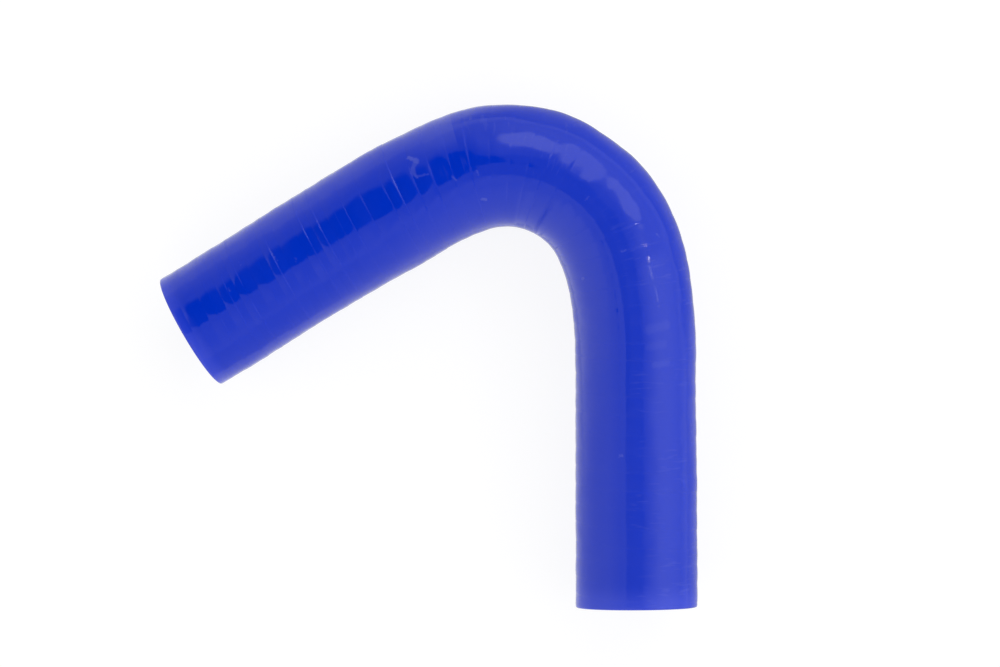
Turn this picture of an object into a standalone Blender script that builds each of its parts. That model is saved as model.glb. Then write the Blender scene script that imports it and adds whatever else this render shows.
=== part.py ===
# Silicone elbow hose: a tight bend of about 121 degrees between two straight legs, in one piece.
# It is laid up over a bent former and wrapped in tape to cure, so its outside keeps a low, overlapping
# step at each turn of the tape, its bore is smooth and its ends are trimmed square.
# Metres, with +Z up. The hose lies on its side, and its long leg runs along -Y.

import math

import bmesh
import bpy
from mathutils import Vector

# Section of the tube
BORE = 0.0250
WALL = 0.0045

# Centre line, from the end of the short leg to the end of the long leg
SHORT_LEG = 0.0685
LONG_LEG = 0.0719
BEND_RADIUS = 0.0337
BEND_SWEEP = math.radians(92.2)
# The bend runs out into each leg through a wider arc, where the ply had to stretch less
EASE_RADIUS = 0.1021
SHORT_EASE_SWEEP = math.radians(12.8)
LONG_EASE_SWEEP = math.radians(16.1)

# Curing tape: the pitch of its turns, how proud its edge stands, and how far along that edge takes
WRAP_PITCH = 0.00518
WRAP_STEP = 0.00012
WRAP_EDGE = 0.0006
# Turns swept past each end of the hose before the ends are trimmed
WRAP_LEAD = 1.5

# Trimmed ends: how much the knife leaves broken off the outer corner and off the bore's mouth
RIM_BREAK = 0.0004
MOUTH_BREAK = 0.0003

# Fineness of the mesh
SIDES = 32
BORE_FACET = math.radians(5.5)
SHARP_ANGLE = math.radians(35)
# Points closer than this are one, and a point this near a column, in columns, belongs to it
MERGE_DISTANCE = 0.00001
COLUMN_TOLERANCE = 0.01

# Finish
HOSE_COLOUR = (0.002, 0.028, 0.47, 1.0)
HOSE_ROUGHNESS = 0.28

AXIS = Vector((1.0, 0.0, 0.0))
OUTSIDE_RADIUS = BORE / 2 + WALL


def clear_scene():
    for obj in list(bpy.data.objects):
        bpy.data.objects.remove(obj, do_unlink=True)


def stretches():
    """Length and radius of each stretch of the centre line. A radius of 0 is straight."""
    return (
        (SHORT_LEG, 0.0),
        (EASE_RADIUS * SHORT_EASE_SWEEP, EASE_RADIUS),
        (BEND_RADIUS * BEND_SWEEP, BEND_RADIUS),
        (EASE_RADIUS * LONG_EASE_SWEEP, EASE_RADIUS),
        (LONG_LEG, 0.0),
    )


def hose_length():
    return sum(length for length, radius in stretches())


def side_of(heading):
    """The way to the outside of the bend, level and square to the heading."""
    return Vector((-math.sin(heading), math.cos(heading), 0.0))


def on_centre_line(distance):
    """Point and heading at this distance from the short leg's end."""
    heading = SHORT_EASE_SWEEP + BEND_SWEEP + LONG_EASE_SWEEP - math.pi / 2
    point = Vector((0.0, 0.0, 0.0))
    left = distance
    for length, radius in stretches():
        run = min(left, length)
        if radius:
            centre = point - radius * side_of(heading)
            heading -= run / radius
            point = centre + radius * side_of(heading)
        else:
            point += run * Vector((math.cos(heading), math.sin(heading), 0.0))
        left -= run
    return point, heading


def bore_stations():
    """Distances along the centre line at which the bore has a ring of points."""
    stations = [0.0]
    for length, radius in stretches():
        count = max(1, math.ceil(length / radius / BORE_FACET)) if radius else 1
        start = stations[-1]
        stations += [start + length * (i + 1) / count for i in range(count)]
    return stations


def trim(bm, place, outward):
    """Cuts the sweep square at this place. What the cut leaves between two columns of points joins the nearer."""
    bmesh.ops.bisect_plane(
        bm,
        geom=bm.verts[:] + bm.edges[:] + bm.faces[:],
        dist=MERGE_DISTANCE,
        plane_co=AXIS * place,
        plane_no=outward,
        clear_outer=True,
    )
    ring = {vert for edge in open_loop(bm, place) for vert in edge.verts}
    columns = {vert: math.atan2(vert.co.z, vert.co.y) * SIDES / math.tau for vert in ring}
    kept = [vert for vert in ring if abs(columns[vert] - round(columns[vert])) < COLUMN_TOLERANCE]
    strays = {
        vert: min(kept, key=lambda other: (other.co - vert.co).length)
        for vert in ring
        if vert not in kept
    }
    bmesh.ops.weld_verts(bm, targetmap=strays)


def wrapped_outside(bm, length):
    """The outside before bending: one turn of tape, swept round and along as a screw, then trimmed."""
    turns = math.ceil(length / WRAP_PITCH + WRAP_LEAD)
    profile = (
        (0.0, 0.0),
        (WRAP_PITCH / 2, WRAP_STEP / 2),
        (WRAP_PITCH - WRAP_EDGE, WRAP_STEP),
        (WRAP_PITCH, 0.0),
    )
    points = [
        bm.verts.new((along - WRAP_LEAD * WRAP_PITCH, OUTSIDE_RADIUS + proud, 0.0))
        for along, proud in profile
    ]
    edges = [bm.edges.new(pair) for pair in zip(points, points[1:])]
    bmesh.ops.spin(
        bm,
        geom=points + edges,
        axis=-AXIS,
        dvec=AXIS * WRAP_PITCH / SIDES,
        angle=math.tau * turns,
        steps=SIDES * turns,
    )
    bmesh.ops.remove_doubles(bm, verts=bm.verts, dist=MERGE_DISTANCE)
    trim(bm, RIM_BREAK, -AXIS)
    trim(bm, length - RIM_BREAK, AXIS)


def open_loop(bm, place):
    return [
        edge
        for edge in bm.edges
        if edge.is_boundary and all(abs(vert.co.x - place) < MERGE_DISTANCE for vert in edge.verts)
    ]


def extrude_ring(bm, edges, place, radius):
    """Extrudes a ring of edges to a new ring of this radius, at this place along the tube."""
    made = bmesh.ops.extrude_edge_only(bm, edges=edges)["geom"]
    ring = {item for item in made if isinstance(item, bmesh.types.BMVert)}
    for vert in ring:
        vert.co = AXIS * place + radius * Vector((0.0, vert.co.y, vert.co.z)).normalized()
    return [
        item
        for item in made
        if isinstance(item, bmesh.types.BMEdge) and ring.issuperset(item.verts)
    ]


def ends_and_bore(bm, length):
    """Carries the skin on over the short leg's end, through the bore and over the long leg's end."""
    rim = OUTSIDE_RADIUS - RIM_BREAK
    mouth = BORE / 2 + MOUTH_BREAK
    rings = [(0.0, rim), (0.0, mouth), (MOUTH_BREAK, BORE / 2)]
    rings += [(place, BORE / 2) for place in bore_stations()[1:-1]]
    rings += [(length - MOUTH_BREAK, BORE / 2), (length, mouth), (length, rim)]
    edges = open_loop(bm, RIM_BREAK)
    far_edges = open_loop(bm, length - RIM_BREAK)
    for place, radius in rings:
        edges = extrude_ring(bm, edges, place, radius)
    extrude_ring(bm, far_edges, length, rim)
    bmesh.ops.remove_doubles(bm, verts=bm.verts, dist=MERGE_DISTANCE)


def straight_tube(bm):
    length = hose_length()
    wrapped_outside(bm, length)
    ends_and_bore(bm, length)


def bend_tube(bm):
    """Lays each point of the straight tube beside its place on the centre line."""
    up = Vector((0.0, 0.0, 1.0))
    for vert in bm.verts:
        point, heading = on_centre_line(vert.co.x)
        vert.co = point + vert.co.y * side_of(heading) + vert.co.z * up


def stand_on_origin(bm):
    """Moves the hose so that the middle of its box is over the origin and its lowest point is at zero."""
    lows = [min(vert.co[i] for vert in bm.verts) for i in range(3)]
    highs = [max(vert.co[i] for vert in bm.verts) for i in range(3)]
    middle = Vector(((lows[0] + highs[0]) / 2, (lows[1] + highs[1]) / 2, lows[2]))
    bmesh.ops.translate(bm, verts=bm.verts, vec=-middle)


def hose_material():
    material = bpy.data.materials.new("blue_silicone")
    material.use_nodes = True
    shader = material.node_tree.nodes["Principled BSDF"]
    shader.inputs["Base Color"].default_value = HOSE_COLOUR
    shader.inputs["Roughness"].default_value = HOSE_ROUGHNESS
    shader.inputs["Metallic"].default_value = 0.0
    return material


def make_hose():
    bm = bmesh.new()
    straight_tube(bm)
    bend_tube(bm)
    stand_on_origin(bm)
    bmesh.ops.recalc_face_normals(bm, faces=bm.faces)
    mesh = bpy.data.meshes.new("elbow_hose")
    bm.to_mesh(mesh)
    bm.free()
    mesh.materials.append(hose_material())
    mesh.shade_smooth()
    mesh.set_sharp_from_angle(angle=SHARP_ANGLE)
    hose = bpy.data.objects.new("elbow_hose", mesh)
    bpy.context.scene.collection.objects.link(hose)
    return hose


clear_scene()
make_hose()
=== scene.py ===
# Silicone elbow hose lying on a white table, seen from above
import math

import bmesh
import bpy
from mathutils import Matrix, Vector, noise


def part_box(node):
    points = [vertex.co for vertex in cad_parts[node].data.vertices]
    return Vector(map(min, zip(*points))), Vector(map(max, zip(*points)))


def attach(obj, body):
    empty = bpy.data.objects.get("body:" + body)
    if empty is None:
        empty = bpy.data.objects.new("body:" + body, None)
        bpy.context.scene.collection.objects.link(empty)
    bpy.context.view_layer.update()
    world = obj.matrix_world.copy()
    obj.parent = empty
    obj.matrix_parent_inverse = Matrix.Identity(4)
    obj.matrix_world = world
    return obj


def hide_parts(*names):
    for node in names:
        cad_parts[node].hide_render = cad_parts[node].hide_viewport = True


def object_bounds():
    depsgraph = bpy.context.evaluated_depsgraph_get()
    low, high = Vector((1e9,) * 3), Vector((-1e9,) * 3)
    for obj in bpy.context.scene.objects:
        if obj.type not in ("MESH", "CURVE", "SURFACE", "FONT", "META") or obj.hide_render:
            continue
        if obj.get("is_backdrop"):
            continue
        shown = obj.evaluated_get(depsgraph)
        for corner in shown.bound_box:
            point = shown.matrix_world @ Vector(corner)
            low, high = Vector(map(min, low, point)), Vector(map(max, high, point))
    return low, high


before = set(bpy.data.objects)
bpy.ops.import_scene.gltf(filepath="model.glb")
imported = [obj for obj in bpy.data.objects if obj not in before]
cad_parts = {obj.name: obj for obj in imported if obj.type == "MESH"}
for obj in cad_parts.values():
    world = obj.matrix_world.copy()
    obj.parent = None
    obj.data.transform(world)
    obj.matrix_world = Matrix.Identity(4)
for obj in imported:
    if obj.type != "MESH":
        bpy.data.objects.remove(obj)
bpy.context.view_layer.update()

nodeLow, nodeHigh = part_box("elbow_hose")
print("loaded the packed hose")

tau = math.tau
alongX = Vector((1.0, 0.0, 0.0))
upward = Vector((0.0, 0.0, 1.0))


# The hose's centre line

hose = dict(
    bore=0.0250,
    wall=0.0045,
    shortLeg=0.0685,
    longLeg=0.0719,
    bendRadius=0.0337,
    bendSweep=math.radians(92.2),
    easeRadius=0.1021,  # the bend runs out into each leg through this wider arc
    shortEase=math.radians(12.8),
    longEase=math.radians(16.1),
    rimBreak=0.0004,
    rimShoulder=(0.3, 0.7),  # the middle of that break, along and outwards, as shares of it
    mouthBreak=0.0003,
)
outside = hose["bore"] / 2 + hose["wall"]
stretches = (
    (hose["shortLeg"], 0.0),
    (hose["easeRadius"] * hose["shortEase"], hose["easeRadius"]),
    (hose["bendRadius"] * hose["bendSweep"], hose["bendRadius"]),
    (hose["easeRadius"] * hose["longEase"], hose["easeRadius"]),
    (hose["longLeg"], 0.0),
)
hoseLength = sum(length for length, radius in stretches)
startHeading = hose["shortEase"] + hose["bendSweep"] + hose["longEase"] - math.pi / 2


def sideOf(heading):
    return Vector((-math.sin(heading), math.cos(heading), 0.0))


def rawCentre(distance):
    heading, point, left = startHeading, Vector((0.0, 0.0, 0.0)), distance
    for number, (length, radius) in enumerate(stretches):
        run = left if number == len(stretches) - 1 else min(left, length)
        if radius:
            centre = point - radius * sideOf(heading)
            heading -= run / radius
            point = centre + radius * sideOf(heading)
        else:
            point += run * Vector((math.cos(heading), math.sin(heading), 0.0))
        left -= run
        if left <= 0:
            break
    return point, heading


# the long leg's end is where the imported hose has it: against the low Y and high X sides of its box
halfHeight = (nodeHigh.z - nodeLow.z) / 2
longEnd = Vector((nodeHigh.x - halfHeight, nodeLow.y, nodeLow.z + halfHeight))
shift = longEnd - rawCentre(hoseLength)[0]


def centreAt(distance):
    point, heading = rawCentre(distance)
    return point + shift, heading


# Relief of the outside. Angles round the hose start at the outside of the bend, so their cosine is 1 there,
# 0 on top and -1 at the inside.
wrap = dict(
    pitch=0.00518,
    start=0.00134,
    lead=2,  # turns swept before the near end
    proud=0.00015,  # the tape's edges over the smooth tube
    endFade=0.001,  # what the tape adds to that fades out this close to the cuts
    pillow=0.00016,  # how far the middle of a turn stands over its edges
    pillowSpread=0.25,  # how much that differs from turn to turn
    tight=0.20,  # how much of it goes towards the ends of the short leg
    middle=0.045,  # where the short leg has all of it
    flatter=0.12,  # share of it past the short leg, where the tape was pulled tighter
    flatterFrom=0.080,
    flatterFull=0.092,
    flanks=0.40,  # share of it on the flanks
    outerFlank=(0.50, 0.95),
    shortInner=(0.0, -0.30),  # the inner flank on the short leg, and on the long one
    longInner=(-0.45, -0.90),
    creased=0.5,  # where the turns of the short leg are creased; the others are at their edges
    creasedTurns=(9.8, 10.7),
    edge=0.00006,  # drop at the edge of each turn
    edgeShare=0.036,  # share of a turn that half of the drop takes
    ply=0.00012,  # how unevenly each turn lies against the next
    plyShare=0.20,  # share of a turn over which it blends into its neighbour
    plySize=0.0070,
    plyPace=1.7,  # how far apart the turns are on its noise, and where they start
    plyPlace=3.0,
    plyShort=0.35,  # share of it on the short leg
    plyInner=0.25,  # and on the inner side
    plySide=(-0.10, 0.25),
    columns=144,  # points round the hose, and along each turn as shares of it
    rows=(0.0, 0.018, 0.036, 0.1, 0.28, 0.46, 0.5, 0.54, 0.72, 0.9, 0.964, 0.982),
    # how far each turn of the short leg lies past an even pitch; the rest wander
    strays=(0.0, 0.0, 0.0011, 0.0013, 0.0006, 0.0022, 0.0015, 0.0020, 0.0022, 0.0015, 0.0017,
            -0.0003, 0.0002, 0.0018, -0.0003, -0.0004),
    wander=0.0007,
    strayFade=0.004,  # towards the cuts it lies even again
    # how sharp an edge each turn of the short leg keeps
    edges=(0.4, 0.6, 1.2, 1.0, 1.5, 0.8, 1.0, 0.6, 1.6, 1.3, 0.8, 0.6, 0.6, 1.0, 1.6, 0.9),
    otherEdges=(0.45, 0.90),  # the rest: on average, and how much they differ
    fray=0.7,  # how much an edge differs along the tape
    listedAt=1 / 6,  # both lists hold this share of a turn round from the outside
)

# soft swells and dips left by the former: place along the hose, degrees round from the outside, height,
# half length and half spread
swells = (
    (0.068, 180, 0.00062, 0.0075, 50),
    (0.035, 180, -0.00025, 0.0100, 50),
    (0.142, 180, 0.00018, 0.0045, 50),
    (0.154, 180, -0.00020, 0.0055, 50),
    (0.183, 180, -0.00014, 0.0100, 50),
    (0.008, 180, 0.00017, 0.0090, 50),
    (0.008, 0, -0.00017, 0.0090, 50),
    (0.051, 0, 0.00020, 0.0120, 50),
    (0.078, 0, -0.00030, 0.0048, 45),
    (0.108, 0, 0.00015, 0.0120, 50),
    (0.123, 0, -0.00036, 0.0036, 45),
    (0.150, 0, 0.00028, 0.0050, 50),
    (0.184, 0, -0.00026, 0.0160, 50),
    (0.0745, 68, -0.00032, 0.0060, 20),
    (0.0745, 116, 0.00032, 0.0060, 20),
)
swellEnd = 3  # a swell is level past this many times its half length or half spread

# hand-laid unevenness, calm on the inner side: in all of the bend, and next to the top on the long leg
waves = dict(
    layers=((0.00014, 0.0090), (0.00005, 0.0035)),  # height and size of each
    calm=0.9,  # share that goes there
    calmFrom=0.086,
    calmFull=0.098,
    calmTop=(0.30, -0.10),
    calmInside=(-0.80, -0.40),
)

# where the relief takes to the bend, and where it leaves it
bendStart = (0.084, 0.094)
bendEnd = (0.156, 0.146)

# smooth noise along the tape: how fast it changes, and the row that it is read from
chances = dict(
    stray=(0.8, 5.1),
    pillow=(0.7, 3.7),
    edge=(2.3, 11.0),
    fray=(7.0, 2.0),
)


# smooth step from 0 at the start to 1 at the end
def between(value, start, end):
    share = max(0.0, min(1.0, (value - start) / (end - start)))
    return share * share * (3 - 2 * share)


# 1 in the bend, 0 on the straight legs
def bendShare(distance):
    return between(distance, *bendStart) * between(distance, *bendEnd)


def swellAt(distance, angle):
    spot = Vector((distance, outside * math.cos(angle), outside * math.sin(angle)))
    height = sum(rise * noise.noise(spot / size) for rise, size in waves["layers"])
    outer = math.cos(angle)
    calm = between(distance, waves["calmFrom"], waves["calmFull"]) * between(outer, *waves["calmTop"])
    calm *= max(between(outer, *waves["calmInside"]), bendShare(distance))
    height *= 1 - waves["calm"] * calm
    for place, degrees, rise, reach, spread in swells:
        away = (distance - place) / reach
        turn = math.remainder(angle - math.radians(degrees), tau) / math.radians(spread)
        if abs(away) < swellEnd and abs(turn) < swellEnd:
            height += rise * math.exp(-away * away / 2 - turn * turn / 2)
    return height


# between -1 and 1; the half keeps it off the corners of the noise, where it is 0
def chance(name, turn):
    pace, row = chances[name]
    return noise.noise(Vector((turn * pace, row, 0.5)))


def listedFor(listed, turn):
    whole = math.floor(turn)
    part = between(turn, whole, whole + 1)
    return listed[whole] * (1 - part) + listed[whole + 1] * part


def strayOf(turn):
    counted = turn + wrap["listedAt"]
    if 0 <= counted < len(wrap["strays"]) - 1:
        return listedFor(wrap["strays"], counted)
    return wrap["wander"] * chance("stray", counted)


def edgeOf(turn):
    counted = turn + wrap["listedAt"]
    fray = 1 + wrap["fray"] * chance("fray", turn)
    if 0 <= counted < len(wrap["edges"]) - 1:
        return fray * listedFor(wrap["edges"], counted)
    average, differs = wrap["otherEdges"]
    return fray * max(0.0, average + differs * chance("edge", turn))


def creaseOf(turn):
    return wrap["creased"] * (1 - between(turn, *wrap["creasedTurns"]))


def plyOf(turn, angle):
    size = outside / wrap["plySize"]
    row = turn * wrap["plyPace"] + wrap["plyPlace"]
    return noise.noise(Vector((row, size * math.cos(angle), size * math.sin(angle))))


# the turn's number, counted along the tape, and the share of the way to the next
def tapeAt(distance, angle):
    turns = (distance - wrap["start"]) / wrap["pitch"] + angle / tau
    whole = math.floor(turns + meshing["onEdge"])
    return whole - angle / tau, max(0.0, turns - whole)


# 0 at either cut, 1 from this far in
def clearOfCuts(distance, reach):
    return max(0.0, min(1.0, distance / reach, (hoseLength - distance) / reach))


# where a point of the even wrap really lies
def alongAt(distance, angle):
    turn, part = tapeAt(distance, angle)
    stray = strayOf(turn) * (1 - part) + strayOf(turn + 1) * part
    return distance + clearOfCuts(distance, wrap["strayFade"]) * stray


# share of the pillow that is left at this place
def firmAt(distance, angle, turn, past):
    outer = math.cos(angle)
    firm = 1.0 + wrap["pillowSpread"] * chance("pillow", turn)
    top = 1.0 + (wrap["flatter"] - 1.0) * past
    start, end = (a + (b - a) * past for a, b in zip(wrap["shortInner"], wrap["longInner"]))
    inner = between(outer, start, end) * (1 - bendShare(distance))
    flank = max(between(outer, *wrap["outerFlank"]), inner)
    firm *= top + (wrap["flanks"] - top) * flank
    fromMiddle = min(1.0, ((distance - wrap["middle"]) / wrap["middle"]) ** 2)
    return firm * (1.0 - (1 - past) * wrap["tight"] * fromMiddle)


# height of the tape over the tube
def wrapAt(distance, angle):
    turn, part = tapeAt(distance, angle)
    past = between(distance, wrap["flatterFrom"], wrap["flatterFull"])

    # a pillow on each turn, from crease to crease
    cushion = (part + creaseOf(turn) * (1 - part) + creaseOf(turn + 1) * part) % 1.0
    pillow = firmAt(distance, angle, turn, past) * wrap["pillow"] * 4 * cushion * (1 - cushion)

    # a slow rise over each turn, and a quick drop over its edge
    half, drop = wrap["edgeShare"], part
    if part < half:
        drop = 0.5 + (half - 0.5) * part / half
    elif part > 1 - half:
        drop = 0.5 + (0.5 - half) * (1 - part) / half
    drop *= edgeOf(turn) * (1 - part) + edgeOf(turn + 1) * part

    blend, ply = wrap["plyShare"], plyOf(turn, angle)
    if part < blend:
        ply += (plyOf(turn - 1, angle) - ply) * 0.5 * (1 - part / blend)
    elif part > 1 - blend:
        ply += (plyOf(turn + 1, angle) - ply) * 0.5 * (1 - (1 - part) / blend)
    ply *= wrap["ply"] * (wrap["plyShort"] + (1 - wrap["plyShort"]) * past)
    ply *= wrap["plyInner"] + (1 - wrap["plyInner"]) * between(math.cos(angle), *wrap["plySide"])
    return wrap["proud"] + clearOfCuts(distance, wrap["endFade"]) * (pillow + wrap["edge"] * drop + ply)


# How far the knife strayed from square at each end: all over, towards the bend's outside and towards the
# top. It fades out over the reach.
cuts = dict(
    short=(-0.00006, -0.00037, 0.00014),
    long=(0.00045, -0.00008, -0.00090),
    reach=0.006,
)


def cutShift(distance, radius, angle):
    for name, away, sign in (("short", distance, -1), ("long", hoseLength - distance, 1)):
        if away < cuts["reach"]:
            even, outer, top = cuts[name]
            across = (outer * math.cos(angle) + top * math.sin(angle)) * radius / outside
            return sign * (even + across) * (1 - away / cuts["reach"]) ** 2
    return 0.0


# The hose itself
meshing = dict(
    merge=1e-5,  # closer points are one
    ringMerge=2e-6,  # the same, once the rims are made
    onPlane=1e-6,  # how near a cut its points are
    onColumn=0.02,  # how near a column of points its own are, in columns
    onEdge=1e-4,  # how near the edge of a turn counts as past it, in turns
    boreFacet=math.radians(3.0),
    boreLegRings=4,
    sharpAngle=math.radians(50),
)


def openLoop(bm, place):
    near = meshing["onPlane"]
    return [e for e in bm.edges if e.is_boundary and all(abs(v.co.x - place) < near for v in e.verts)]


def trim(bm, place, outward):
    bmesh.ops.bisect_plane(
        bm,
        geom=bm.verts[:] + bm.edges[:] + bm.faces[:],
        dist=meshing["onPlane"],
        plane_co=alongX * place,
        plane_no=outward,
        clear_outer=True,
    )
    # what the cut leaves between two columns joins the nearer one
    ring = {v for e in openLoop(bm, place) for v in e.verts}
    column = {v: math.atan2(v.co.z, v.co.y) * wrap["columns"] / tau for v in ring}
    kept = [v for v in ring if abs(column[v] - round(column[v])) < meshing["onColumn"]]
    strays = {v: min(kept, key=lambda k: (k.co - v.co).length) for v in ring if v not in kept}
    bmesh.ops.weld_verts(bm, targetmap=strays)


def extrudeRing(bm, edges, place, radius):
    made = bmesh.ops.extrude_edge_only(bm, edges=edges)["geom"]
    ring = {item for item in made if isinstance(item, bmesh.types.BMVert)}
    for v in ring:
        v.co = alongX * place + radius * Vector((0.0, v.co.y, v.co.z)).normalized()
    return [item for item in made if isinstance(item, bmesh.types.BMEdge) and ring.issuperset(item.verts)]


def boreStations():
    stations = [0.0]
    for length, radius in stretches:
        count = math.ceil(length / radius / meshing["boreFacet"]) if radius else meshing["boreLegRings"]
        start = stations[-1]
        stations += [start + length * (i + 1) / count for i in range(count)]
    return stations


def straightHose(bm):
    places = [wrap["pitch"] * (part - wrap["lead"]) + wrap["start"] for part in wrap["rows"] + (1.0,)]
    points = [bm.verts.new((place, outside, 0.0)) for place in places]
    edges = [bm.edges.new(pair) for pair in zip(points, points[1:])]
    bmesh.ops.spin(
        bm,
        geom=points + edges,
        axis=-alongX,
        dvec=alongX * wrap["pitch"] / wrap["columns"],
        angle=tau,
        steps=wrap["columns"],
    )
    # one turn is doubled until the turns reach past the far end
    turns = 1
    while (turns - wrap["lead"] - 1) * wrap["pitch"] < hoseLength:
        copied = bmesh.ops.duplicate(bm, geom=bm.verts[:] + bm.edges[:] + bm.faces[:])["geom"]
        moved = [item for item in copied if isinstance(item, bmesh.types.BMVert)]
        bmesh.ops.translate(bm, verts=moved, vec=alongX * wrap["pitch"] * turns)
        turns *= 2
    bmesh.ops.remove_doubles(bm, verts=bm.verts, dist=meshing["merge"])
    trim(bm, hose["rimBreak"], -alongX)
    trim(bm, hoseLength - hose["rimBreak"], alongX)
    print("swept the tape turns:", len(bm.faces), "faces")

    # over one end, through the bore and over the other end
    rim, mouth, bore = outside - hose["rimBreak"], hose["bore"] / 2 + hose["mouthBreak"], hose["bore"] / 2
    along, outward = (hose["rimBreak"] * share for share in hose["rimShoulder"])
    near, far = [(0.0, rim), (0.0, (rim + mouth) / 2)], [(hoseLength, (rim + mouth) / 2), (hoseLength, rim)]
    rings = [(along, rim + outward)] + near + [(0.0, mouth), (hose["mouthBreak"], bore)]
    rings += [(place, bore) for place in boreStations()[1:-1]]
    rings += [(hoseLength - hose["mouthBreak"], bore), (hoseLength, mouth)] + far
    edges, farEdges = openLoop(bm, hose["rimBreak"]), openLoop(bm, hoseLength - hose["rimBreak"])
    for place, radius in rings:
        edges = extrudeRing(bm, edges, place, radius)
    for place, radius in ((hoseLength - along, rim + outward), (hoseLength, rim)):
        farEdges = extrudeRing(bm, farEdges, place, radius)
    bmesh.ops.remove_doubles(bm, verts=bm.verts, dist=meshing["ringMerge"])


# raises the relief and lays each point beside its place on the centre line
def bendHose(bm):
    straight = bm.verts.layers.float_vector.new("straight")
    for v in bm.verts:
        distance, radius, angle = v.co.x, math.hypot(v.co.y, v.co.z), math.atan2(v.co.z, v.co.y)
        if radius > outside - hose["rimBreak"] - meshing["merge"]:
            radius += wrapAt(distance, angle)
            distance = alongAt(distance, angle)
            radius += swellAt(distance, angle)
        v[straight] = (distance, radius * math.cos(angle), radius * math.sin(angle))
        distance += cutShift(distance, radius, angle)
        point, heading = centreAt(distance)
        v.co = point + radius * (math.cos(angle) * sideOf(heading) + math.sin(angle) * upward)
    print("raised the relief and bent the hose:", len(bm.verts), "points")


def makeHose():
    bm = bmesh.new()
    straightHose(bm)
    bendHose(bm)
    bmesh.ops.recalc_face_normals(bm, faces=bm.faces)
    mesh = bpy.data.meshes.new("hose_body")
    bm.to_mesh(mesh)
    bm.free()
    mesh.shade_smooth()
    mesh.set_sharp_from_angle(angle=meshing["sharpAngle"])
    obj = bpy.data.objects.new("hose_body", mesh)
    bpy.context.scene.collection.objects.link(obj)
    return obj


def calc(nodes, links, operation, *values):
    node = nodes.new("ShaderNodeMath")
    node.operation = operation
    for socket, value in zip(node.inputs, values):
        if isinstance(value, bpy.types.NodeSocket):
            links.new(value, socket)
        else:
            socket.default_value = value
    return node.outputs["Value"]


# low before start, high after end, and smooth between
def ease(nodes, links, value, start, end, low=0.0, high=1.0):
    node = nodes.new("ShaderNodeMapRange")
    node.interpolation_type = "SMOOTHSTEP"
    links.new(value, node.inputs["Value"])
    for name, number in (("From Min", start), ("From Max", end), ("To Min", low), ("To Max", high)):
        node.inputs[name].default_value = number
    return node.outputs["Result"]


# how far a point is from the line between two places
def awayFrom(nodes, links, point, start, end):
    def vector(operation, *values):
        node = nodes.new("ShaderNodeVectorMath")
        node.operation = operation
        for socket, value in zip(node.inputs, values):
            if isinstance(value, bpy.types.NodeSocket):
                links.new(value, socket)
            else:
                socket.default_value = value
        return node

    start, end = Vector(start), Vector(end)
    if start == end:
        return vector("DISTANCE", point, start).outputs["Value"]
    span = end - start
    offset = vector("SUBTRACT", point, start).outputs["Vector"]
    share = vector("DOT_PRODUCT", offset, span / span.length_squared).outputs["Value"]
    clamped = nodes.new("ShaderNodeClamp")
    links.new(share, clamped.inputs["Value"])
    foot = vector("SCALE", span)
    links.new(clamped.outputs["Result"], foot.inputs["Scale"])
    return vector("DISTANCE", offset, foot.outputs["Vector"]).outputs["Value"]


# Silicone
silicone = dict(
    colour=(0.0, 0.030, 0.575),
    cutColour=(0.030, 0.062, 0.68),  # light comes in through the cut ends
    cutShare=0.85,  # how much of that the very ends take, and how far it reaches in
    shortCut=0.0050,
    longCut=0.0085,
    haze=(0.44, 0.48, 0.80),  # film of talc and wear
    hazeShare=0.004,
    hazePatches=(0.35, 0.75),  # where on the mottle it comes in
    roughness=0.06,
    roughSpread=0.06,
    roughPatches=(0.30, 0.80),
    ior=1.45,
    bump=0.25,
    bumpHeight=0.0001,
    fineGrain=0.35,  # the finer of two grains, as a share of the other
    lap=0.0915,  # where the outer ply ends, on the outside of the bend
    lapHaze=0.045,
    lapBuild=(0.014, 0.002),  # the haze builds up between these distances before it
    lapEdge=(0.0001, 0.0002),  # and ends from just before to just past it
    lapSide=(0.35 * outside, 0.65 * outside),
    strokes=0.030,  # thin pale strokes that follow the tape
    strokesCut=(0.56, 0.72),  # the part of their noise that makes a stroke
    strokesPatches=(0.42, 0.62),
    strokesFrom=(0.080, 0.094),
    strokesSide=(-0.2 * outside, 0.1 * outside),
    ragged=0.0010,  # how far the outlines of the marks below stray
    marksEdge=(0.4, 1.6),  # they fade out between these shares of their reach
)

# noise on the straightened hose: scale, detail, and how it is squeezed along and across
clouds = dict(
    mottle=(140.0, 4.0, (1.0, 0.55, 0.55)),
    strokes=(1200.0, 1.0, (1.0, 0.16, 0.16)),
    patches=(75.0, 2.0, (1.0, 1.0, 1.0)),
    fray=(1100.0, 3.0, (1.0, 1.0, 1.0)),
    grain=(260.0, 2.0, (1.0, 0.5, 0.5)),
    fineGrain=(900.0, 3.0, (1.0, 1.0, 1.0)),
)

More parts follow.
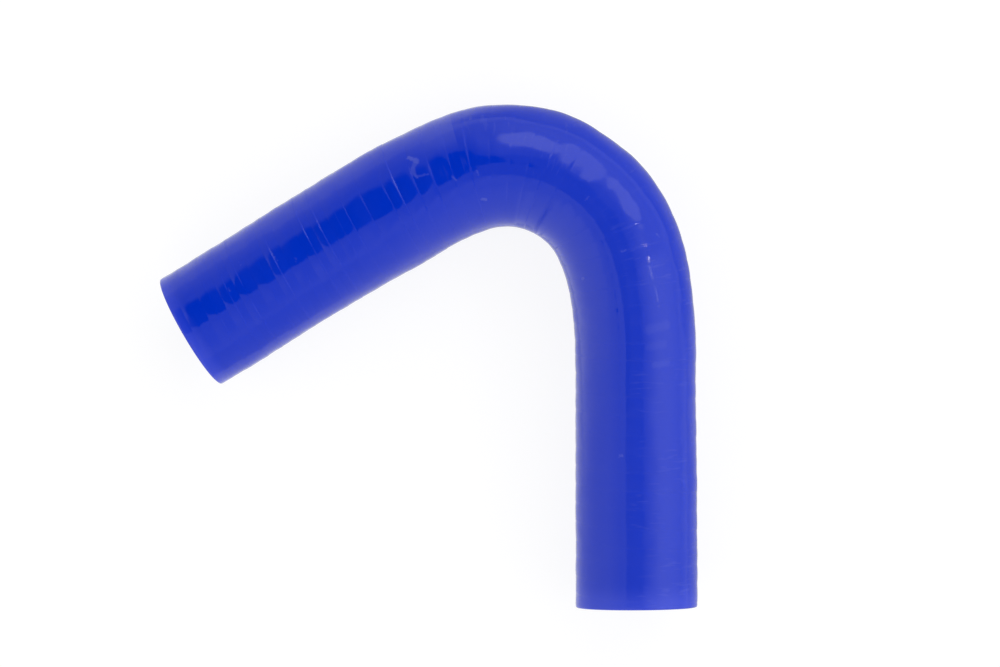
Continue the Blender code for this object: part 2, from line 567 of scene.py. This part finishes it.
# pale specks, a hooked smear and soft patches: place along the hose and degrees round from the outside where
# it starts, the same where it ends, reach, strength
marks = (
    (0.0238, 58, 0.0238, 62, 0.00030, 0.07),
    (0.0176, 75, 0.0177, 79, 0.00030, 0.08),
    (0.0331, 68, 0.0333, 77, 0.00035, 0.09),
    (0.0377, 87, 0.0381, 84, 0.00030, 0.08),
    (0.0786, 55, 0.0797, 60, 0.00055, 0.12),
    (0.0797, 60, 0.0800, 63, 0.00070, 0.11),
    (0.0800, 63, 0.0785, 67, 0.00060, 0.07),
    (0.0785, 67, 0.0780, 72, 0.00065, 0.08),
    (0.0780, 72, 0.0785, 77, 0.00045, 0.09),
    (0.0785, 77, 0.0815, 79, 0.00035, 0.06),
    (0.0954, 32, 0.0954, 36, 0.00035, 0.10),
    (0.0938, 120, 0.0953, 121, 0.00045, 0.10),
    (0.0946, 92, 0.0947, 96, 0.00035, 0.08),
    (0.0876, 90, 0.0880, 94, 0.00035, 0.07),
    (0.1277, 88, 0.1278, 92, 0.00030, 0.05),
    (0.1441, 50, 0.1445, 47, 0.00035, 0.07),
    (0.1453, 84, 0.1453, 88, 0.00035, 0.06),
    (0.1449, 66, 0.1451, 69, 0.00035, 0.05),
    (0.1501, 134, 0.1502, 136, 0.00035, 0.07),
    (0.2025, 102, 0.2026, 105, 0.00035, 0.08),
    (0.1668, 58, 0.1676, 76, 0.00120, 0.030),
    (0.1716, 62, 0.1722, 76, 0.00110, 0.024),
    (0.1768, 58, 0.1772, 71, 0.00090, 0.030),
)


def siliconeMaterial():
    material = bpy.data.materials.new("blue_silicone")
    material.use_nodes = True
    nodes, links = material.node_tree.nodes, material.node_tree.links

    def do(operation, *values):
        return calc(nodes, links, operation, *values)

    def soft(value, start, end, low=0.0, high=1.0):
        return ease(nodes, links, value, start, end, low, high)

    def product(value, *others):
        for other in others:
            value = do("MULTIPLY", value, other)
        return value

    def cloud(name, output="Fac"):
        scale, detail, squeeze = clouds[name]
        node = nodes.new("ShaderNodeTexNoise")
        node.inputs["Scale"].default_value = scale
        node.inputs["Detail"].default_value = detail
        squeezed = nodes.new("ShaderNodeVectorMath")
        squeezed.operation = "MULTIPLY"
        squeezed.inputs[1].default_value = squeeze
        links.new(straight.outputs["Vector"], squeezed.inputs[0])
        links.new(squeezed.outputs["Vector"], node.inputs["Vector"])
        return node.outputs[output]

    def tinted(share, under, over):
        node = nodes.new("ShaderNodeMix")
        node.data_type = "RGBA"
        links.new(share, node.inputs["Factor"])
        for name, colour in (("A", under), ("B", over)):
            if isinstance(colour, bpy.types.NodeSocket):
                links.new(colour, node.inputs[name])
            else:
                node.inputs[name].default_value = (*colour, 1.0)
        return node.outputs["Result"]

    # the place of each point on the straightened hose: along it, and across it from its centre line
    straight = nodes.new("ShaderNodeAttribute")
    straight.attribute_name = "straight"
    place = nodes.new("ShaderNodeSeparateXYZ")
    links.new(straight.outputs["Vector"], place.inputs["Vector"])
    along, outer = place.outputs["X"], place.outputs["Y"]

    mottle = cloud("mottle")
    nearCut = do("MAXIMUM", soft(along, 0.0, silicone["shortCut"], silicone["cutShare"], 0.0),
                 soft(along, hoseLength - silicone["longCut"], hoseLength, 0.0, silicone["cutShare"]))
    colour = tinted(nearCut, silicone["colour"], silicone["cutColour"])

    # pale film: patchy all over, and thicker on the outer side just before the lap
    lap, build, edge = silicone["lap"], silicone["lapBuild"], silicone["lapEdge"]
    beforeLap = product(
        soft(along, lap - build[0], lap - build[1]),
        soft(along, lap - edge[0], lap + edge[1], 1.0, 0.0),
        soft(outer, *silicone["lapSide"]),
        silicone["lapHaze"],
    )
    film = do("ADD", product(soft(mottle, *silicone["hazePatches"]), silicone["hazeShare"]), beforeLap)
    strokes = product(
        soft(cloud("strokes"), *silicone["strokesCut"]),
        silicone["strokes"],
        soft(cloud("patches"), *silicone["strokesPatches"]),
        soft(along, *silicone["strokesFrom"]),
        soft(outer, *silicone["strokesSide"]),
    )
    film = do("ADD", film, strokes)

    # the marks' outlines are frayed by noise whose middle is a half, so each mark moves along by that
    frayed = nodes.new("ShaderNodeVectorMath")
    frayed.operation = "MULTIPLY_ADD"
    frayed.inputs[1].default_value = (silicone["ragged"],) * 3
    links.new(cloud("fray", "Color"), frayed.inputs[0])
    links.new(straight.outputs["Vector"], frayed.inputs[2])
    full, gone = silicone["marksEdge"]
    for startPlace, startAngle, endPlace, endAngle, reach, strength in marks:
        line = []
        for distance, degrees in ((startPlace, startAngle), (endPlace, endAngle)):
            angle = math.radians(degrees)
            spot = Vector((distance, outside * math.cos(angle), outside * math.sin(angle)))
            line.append(spot + Vector((0.5, 0.5, 0.5)) * silicone["ragged"])
        away = awayFrom(nodes, links, frayed.outputs["Vector"], *line)
        film = do("MAXIMUM", film, soft(away, reach * full, reach * gone, strength, 0.0))
    colour = tinted(film, colour, silicone["haze"])

    grain = do("ADD", product(cloud("fineGrain"), silicone["fineGrain"]), cloud("grain"))
    bump = nodes.new("ShaderNodeBump")
    bump.inputs["Strength"].default_value = silicone["bump"]
    bump.inputs["Distance"].default_value = silicone["bumpHeight"]
    links.new(grain, bump.inputs["Height"])

    shader = nodes["Principled BSDF"]
    shader.inputs["IOR"].default_value = silicone["ior"]
    links.new(colour, shader.inputs["Base Color"])
    roughest = silicone["roughness"] + silicone["roughSpread"]
    rough = soft(mottle, *silicone["roughPatches"], silicone["roughness"], roughest)
    links.new(rough, shader.inputs["Roughness"])
    links.new(bump.outputs["Normal"], shader.inputs["Normal"])
    return material


hoseBody = makeHose()
hoseBody.data.materials.append(siliconeMaterial())
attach(hoseBody, "root")
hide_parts("elbow_hose")
print("hose made:", len(hoseBody.data.polygons), "faces")


# Camera, table and light

camera = dict(
    place=(0.07650, 0.04902, 1.14970),
    target=(0.02053, 0.00639, 0.01712),
    roll=math.radians(-0.275),
    lens=144.48,
    sensor=36.0,
    clip=(0.01, 50.0),
)


def makeCamera():
    data = bpy.data.cameras.new("photo_camera")
    data.sensor_width = camera["sensor"]
    data.lens = camera["lens"]
    data.clip_start, data.clip_end = camera["clip"]
    eye = bpy.data.objects.new("photo_camera", data)
    bpy.context.scene.collection.objects.link(eye)
    look = (Vector(camera["target"]) - Vector(camera["place"])).normalized()
    top = Vector((-math.sin(camera["roll"]), math.cos(camera["roll"]), 0.0))
    right = look.cross(top).normalized()
    turn = Matrix((right, right.cross(look), -look)).transposed()
    eye.matrix_world = Matrix.Translation(Vector(camera["place"])) @ turn.to_4x4()
    bpy.context.scene.camera = eye


studio = dict(
    floorSide=12.0,
    floorColour=(0.9, 0.9, 0.9),
    floorGlow=0.8,  # how much of the floor the camera sees as plain white
    floorGloss=0.7,  # the same, as the gloss mirrors it
    floorLevel=1.09,  # how bright the camera's white is
    # painted shadow of the hose on the table, seen only in the gloss, which finds the table dimmer here:
    # from, to, reach, level
    paintedShadows=(
        ((0.068, 0.165), (0.115, 0.085), 0.105, 0.42),
        ((0.100, 0.060), (0.100, -0.100), 0.040, 0.58),
    ),
    shadeCore=0.65,  # share of the reach that is at that level
)


def makeFloor():
    bm = bmesh.new()
    bmesh.ops.create_grid(bm, x_segments=1, y_segments=1, size=studio["floorSide"] / 2)
    bmesh.ops.translate(bm, verts=bm.verts, vec=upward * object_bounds()[0].z)
    mesh = bpy.data.meshes.new("table_top")
    bm.to_mesh(mesh)
    bm.free()
    floor = bpy.data.objects.new("table_top", mesh)
    bpy.context.scene.collection.objects.link(floor)
    material = bpy.data.materials.new("table_white")
    material.use_nodes = True
    nodes, links = material.node_tree.nodes, material.node_tree.links
    nodes.clear()
    output = nodes.new("ShaderNodeOutputMaterial")
    matt = nodes.new("ShaderNodeBsdfDiffuse")
    matt.inputs["Color"].default_value = (*studio["floorColour"], 1.0)
    glow = nodes.new("ShaderNodeEmission")
    mix = nodes.new("ShaderNodeMixShader")
    rays = nodes.new("ShaderNodeLightPath")
    seen = calc(nodes, links, "MULTIPLY", rays.outputs["Is Camera Ray"], studio["floorGlow"])
    mirrored = calc(
        nodes, links, "MAXIMUM", rays.outputs["Is Glossy Ray"], rays.outputs["Is Transmission Ray"]
    )
    gloss = calc(nodes, links, "MULTIPLY", mirrored, studio["floorGloss"])
    share = calc(nodes, links, "MAXIMUM", seen, gloss)
    links.new(share, mix.inputs["Fac"])
    coords = nodes.new("ShaderNodeTexCoord")
    # painted shadow: the table's glow, as the gloss mirrors it, is dimmer near the hose
    dim = 1.0
    for start, end, reach, level in studio["paintedShadows"]:
        away = awayFrom(nodes, links, coords.outputs["Object"], (*start, 0.0), (*end, 0.0))
        shade = ease(nodes, links, away, reach * studio["shadeCore"], reach, level, 1.0)
        dim = calc(nodes, links, "MINIMUM", dim, shade)
    level = calc(nodes, links, "MULTIPLY", rays.outputs["Is Camera Ray"], studio["floorLevel"])
    links.new(calc(nodes, links, "MAXIMUM", dim, level), glow.inputs["Strength"])
    links.new(matt.outputs["BSDF"], mix.inputs[1])
    links.new(glow.outputs["Emission"], mix.inputs[2])
    links.new(mix.outputs["Shader"], output.inputs["Surface"])
    floor.data.materials.append(material)
    floor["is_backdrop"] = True


# A black card over the short leg, that turns pale farther out, and two pale cards back to back between the
# legs. Only the gloss finds these, and the low cards after them.
cards = dict(
    blackFrom=(-0.1255, 0.1115),
    blackTo=(-0.540, 0.733),
    blackReach=0.140,
    blackSteps=32,  # to each round end
    blackHeight=0.45,
    blackFade=(0.27, 0.50),
    blackLevels=(0.0, 0.46),
    paleFrom=(0.0255, 0.0300),
    paleTo=(-0.0370, -0.0810),
    paleFeet=0.001,
    paleHeight=0.070,
    paleGap=0.004,
    shortSide=(1.05, 0.62),  # by the bend, and farther out
    longSide=(1.30, 1.00),
    paleFade=(0.026, 0.090),
)

# Two low cards hide the black one from the bend and the long leg: height, level, and the outline that the
# camera finds on the hose, as places along it and shares of the way across it
lowCards = dict(
    strip=(0.110, 0.78, (
        (0.106, -0.145), (0.115, -0.150), (0.120, -0.150), (0.128, -0.145), (0.135, -0.140), (0.142, -0.135),
        (0.150, -0.135), (0.165, -0.140), (0.178, -0.145), (0.190, -0.150), (0.215, -0.150), (0.246, -0.150),
        (0.246, -0.270), (0.190, -0.270), (0.165, -0.270), (0.150, -0.270), (0.132, -0.270), (0.120, -0.270),
        (0.115, -0.270),
    )),
    shade=(0.111, 0.34, (
        (0.093, 0.040), (0.103, 0.030), (0.112, 0.030), (0.120, 0.020), (0.128, 0.010), (0.135, 0.0),
        (0.142, 0.0), (0.150, -0.010), (0.158, -0.030), (0.165, -0.050), (0.178, -0.070), (0.190, -0.090),
        (0.190, -0.165), (0.178, -0.165), (0.165, -0.165), (0.150, -0.165), (0.142, -0.165), (0.135, -0.165),
        (0.128, -0.165), (0.120, -0.165), (0.112, -0.160), (0.103, -0.145), (0.093, -0.140),
    )),
)


# the spot at this height that the smooth hose mirrors to the camera from a place along and across it
def mirroredFrom(distance, across, height):
    point, heading = centreAt(distance)
    normal = across * sideOf(heading) + math.sqrt(1 - across * across) * upward
    spot = point + outside * normal
    view = (Vector(camera["place"]) - spot).normalized()
    way = 2 * view.dot(normal) * normal - view
    return spot + way * ((height - spot.z) / way.z)


# a card whose level goes from the first of levels to the second between two distances from a place; an even
# one has the same level twice
def makeCard(name, corners, levels, place=(0.0, 0.0, 0.0), fade=(1.0, 2.0)):
    bm = bmesh.new()
    bm.faces.new([bm.verts.new(corner) for corner in corners])
    mesh = bpy.data.meshes.new(name)
    bm.to_mesh(mesh)
    bm.free()
    card = bpy.data.objects.new(name, mesh)
    bpy.context.scene.collection.objects.link(card)
    material = bpy.data.materials.new(name)
    material.use_nodes = True
    nodes, links = material.node_tree.nodes, material.node_tree.links
    nodes.clear()
    output = nodes.new("ShaderNodeOutputMaterial")
    glow = nodes.new("ShaderNodeEmission")
    coords = nodes.new("ShaderNodeTexCoord")
    away = nodes.new("ShaderNodeVectorMath")
    away.operation = "DISTANCE"
    away.inputs[1].default_value = place
    links.new(coords.outputs["Object"], away.inputs[0])
    level = ease(nodes, links, away.outputs["Value"], *fade, *levels)
    links.new(level, glow.inputs["Strength"])
    links.new(glow.outputs["Emission"], output.inputs["Surface"])
    mesh.materials.append(material)
    card.visible_camera = False
    card.visible_diffuse = False
    card.visible_shadow = False
    card.visible_transmission = False
    card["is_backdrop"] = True


def makeCards():
    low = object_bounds()[0].z
    start, end = Vector(cards["blackFrom"]), Vector(cards["blackTo"])
    facing = math.atan2(end.y - start.y, end.x - start.x)
    corners = []
    for place, turn in ((end, -math.pi / 2), (start, math.pi / 2)):
        for step in range(cards["blackSteps"] + 1):
            angle = facing + turn + math.pi * step / cards["blackSteps"]
            rim = place + cards["blackReach"] * Vector((math.cos(angle), math.sin(angle)))
            corners.append((rim.x, rim.y, low + cards["blackHeight"]))
    place = (*start, low + cards["blackHeight"])
    makeCard("black_card", corners, cards["blackLevels"], place, cards["blackFade"])
    for name, (height, level, outline) in lowCards.items():
        corners = [mirroredFrom(distance, across, low + height) for distance, across in outline]
        makeCard("low_" + name, corners, (level, level))
    near, far = Vector(cards["paleFrom"]), Vector(cards["paleTo"])
    aside = (far - near).orthogonal().normalized() * cards["paleGap"] / 2
    if aside.x < 0:
        aside.negate()
    feet, top = low + cards["paleFeet"], low + cards["paleHeight"]
    sides = (("short_side_card", -aside, "shortSide"), ("long_side_card", aside, "longSide"))
    for name, side, levels in sides:
        corners = [(*(near + side), feet), (*(far + side), feet), (*(far + side), top), (*(near + side), top)]
        makeCard(name, corners, cards[levels], (*near, 0.0), cards["paleFade"])


# What the gloss mirrors. A direction's place is its slope from straight up, tan(tilt / 2), towards +X and +Y.
# A facing is an azimuth, the half spread round it and the fade of its sides, in degrees. A top or a foot is
# where a light comes in or goes, on the way from straight up to the horizon.
dome = dict(
    camera=1.0,  # what the camera itself sees past the table
    overhead=0.33,  # grey ceiling above the table
    overheadLow=0.15,  # a little lighter towards -Y
    overheadTurn=0.06,
    overheadPlace=(-0.015, 0.030),
    overheadReach=0.165,
    overheadFade=0.025,
    room=0.50,  # the room's walls, from high up to the horizon
    horizon=0.78,
    roomFoot=(0.15, 0.60),
    window=0.26,  # more light from the near left
    windowFacing=(-137, 60, 9),
    windowTop=(0.05, 0.35),
    dusk=0.55,  # the walls behind the black card
    duskFacing=(125, 20, 8),
    duskFoot=(0.30, 1.15),
    glow=1.0,  # pale wall over the far right
    glowFacing=(55, 38, 8),
    glowTop=(0.24, 0.42),
    glowFoot=(0.75, 1.05),
    # soft boxes on it: azimuth and half spread in degrees, place and half height, level
    boxes=(
        (83, 14, 0.49, 0.165, 1.95),
        (61, 11, 0.50, 0.27, 1.75),
        (36, 13, 0.51, 0.165, 1.85),
    ),
    boxPowers=(1.6, 2.0),  # how square a box is, sideways and upwards
    boxEdge=(0.75, 1.20),
    low=1.50,  # bright wall on the right, and its level at the top and at the foot
    lowStart=0.55,
    lowEnd=1.0,
    lowFacing=(-12, 28, 12),
    lowTop=(0.08, 0.48),
    lowFoot=(0.55, 1.10),
    # bare lamps: from, to, reach, level
    lamps=(
        ((0.392, 0.096), (0.470, 0.116), 0.0040, 40.0),
        ((0.420, 0.086), (0.443, 0.092), 0.0036, 24.0),
        ((0.430, 0.086), (0.445, 0.055), 0.0180, 1.6),
    ),
    lampCore=0.3,  # share of the reach that is at full level
)


def makeWorld():
    world = bpy.data.worlds.new("studio_dome")
    bpy.context.scene.world = world
    world.use_nodes = True
    nodes, links = world.node_tree.nodes, world.node_tree.links

    def do(operation, *values):
        return calc(nodes, links, operation, *values)

    def soft(value, start, end, low=0.0, high=1.0):
        return ease(nodes, links, value, start, end, low, high)

    def mixed(share, under, over):
        node = nodes.new("ShaderNodeMix")
        for name, value in (("Factor", share), ("A", under), ("B", over)):
            if isinstance(value, bpy.types.NodeSocket):
                links.new(value, node.inputs[name])
            else:
                node.inputs[name].default_value = value
        return node.outputs["Result"]

    split = nodes.new("ShaderNodeSeparateXYZ")
    coords = nodes.new("ShaderNodeTexCoord")
    links.new(coords.outputs["Generated"], split.inputs["Vector"])
    lift = do("ADD", do("MAXIMUM", split.outputs["Z"], 0.0), 1.0)
    x, y = do("DIVIDE", split.outputs["X"], lift), do("DIVIDE", split.outputs["Y"], lift)

    def distance(place):
        dx, dy = do("SUBTRACT", x, place[0]), do("SUBTRACT", y, place[1])
        return do("SQRT", do("ADD", do("MULTIPLY", dx, dx), do("MULTIPLY", dy, dy)))

    radius = do("MAXIMUM", distance((0.0, 0.0)), 1e-4)  # kept off 0, as facings divide by it

    # 1 within half of this azimuth, 0 past it
    def facing(azimuth, half, fade):
        angle = math.radians(azimuth)
        along = do("ADD", do("MULTIPLY", x, math.cos(angle)), do("MULTIPLY", y, math.sin(angle)))
        out, into = math.cos(math.radians(half + fade)), math.cos(math.radians(half - fade))
        return soft(do("DIVIDE", along, radius), out, into)

    walls = soft(radius, *dome["roomFoot"], dome["room"], dome["horizon"])
    near = do("MULTIPLY", facing(*dome["windowFacing"]), dome["window"])
    walls = do("ADD", walls, do("MULTIPLY", near, soft(radius, *dome["windowTop"])))
    dusk = do("MULTIPLY", facing(*dome["duskFacing"]), soft(radius, *dome["duskFoot"], dome["dusk"], 0.0))
    walls = do("MULTIPLY", walls, do("SUBTRACT", 1.0, dusk))
    right = do("MULTIPLY", soft(radius, *dome["lowTop"], dome["lowStart"], dome["low"]),
               soft(radius, *dome["lowFoot"], 1.0, dome["lowEnd"] / dome["low"]))
    walls = mixed(facing(*dome["lowFacing"]), walls, right)
    ring = do("MULTIPLY", soft(radius, *dome["glowTop"]), soft(radius, *dome["glowFoot"], 1.0, 0.0))
    ring = do("MULTIPLY", ring, facing(*dome["glowFacing"]))
    light = mixed(ring, walls, dome["glow"])
    sideways, upwards = dome["boxPowers"]
    azimuth = do("ARCTAN2", y, x)
    for middle, half, place, rise, level in dome["boxes"]:
        aside = do("DIVIDE", do("SUBTRACT", azimuth, math.radians(middle)), math.radians(half))
        aside = do("ABSOLUTE", aside)
        above = do("ABSOLUTE", do("DIVIDE", do("SUBTRACT", radius, place), rise))
        leaf = do("ADD", do("POWER", aside, sideways), do("POWER", above, upwards))
        light = mixed(soft(leaf, *dome["boxEdge"], 1.0, 0.0), light, level)
    over = distance(dome["overheadPlace"])
    turn, reach, fade = dome["overheadTurn"], dome["overheadReach"], dome["overheadFade"]
    ceiling = soft(y, -turn, turn, dome["overhead"] + dome["overheadLow"], dome["overhead"])
    light = mixed(soft(over, reach - fade, reach + fade), ceiling, light)
    flat = nodes.new("ShaderNodeCombineXYZ")
    links.new(x, flat.inputs["X"])
    links.new(y, flat.inputs["Y"])
    for start, end, reach, level in dome["lamps"]:
        away = awayFrom(nodes, links, flat.outputs["Vector"], (*start, 0.0), (*end, 0.0))
        light = do("ADD", light, soft(away, reach * dome["lampCore"], reach, level, 0.0))

    rays = nodes.new("ShaderNodeLightPath")
    light = mixed(rays.outputs["Is Camera Ray"], light, dome["camera"])
    back = nodes["Background"]
    back.inputs["Color"].default_value = (1.0, 1.0, 1.0, 1.0)
    links.new(light, back.inputs["Strength"])


makeFloor()
makeCards()
makeWorld()
makeCamera()
bpy.context.scene.view_settings.view_transform = "Standard"
print("table, light and camera set")
